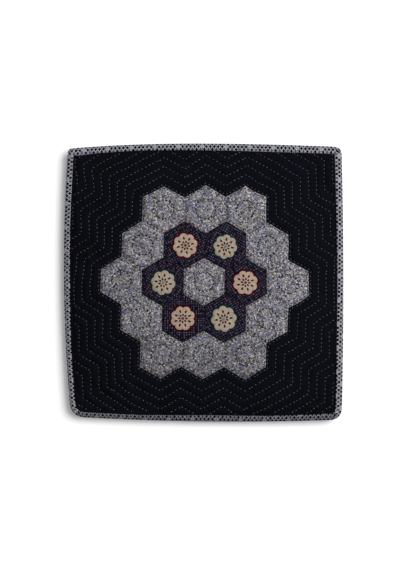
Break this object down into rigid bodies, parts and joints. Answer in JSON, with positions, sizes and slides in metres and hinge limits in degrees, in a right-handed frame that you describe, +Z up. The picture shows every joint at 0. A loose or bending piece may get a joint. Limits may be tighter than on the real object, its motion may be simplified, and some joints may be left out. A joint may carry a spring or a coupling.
{
  "type": "patchwork cushion cover, lightly filled",
  "caption": "Square quilted cushion cover with a hexagon patchwork rosette on a dark ground, echo quilting and a bound edge, lightly filled and lying on its back.",
  "frame": {"origin": "on the surface under the middle of the cushion", "axes": "+Z up through the quilted front, +Y towards the top of the picture side, +X towards its right"},
  "size_m": [0.4493, 0.447, 0.0503],
  "materials": {
    "navy_cotton": "matte quilted cotton",
    "binding_print": "matte dotted cotton print",
    "grey_print": "matte small flowered cotton print",
    "check_cotton": "matte small woven check",
    "flower_cotton": "matte printed cotton",
    "sewing_thread": "matte cotton thread"
  },
  "bodies": {
    "root": {"cushion_body": "navy_cotton", "edge_binding": "binding_print"}
  },
  "joints": []
}
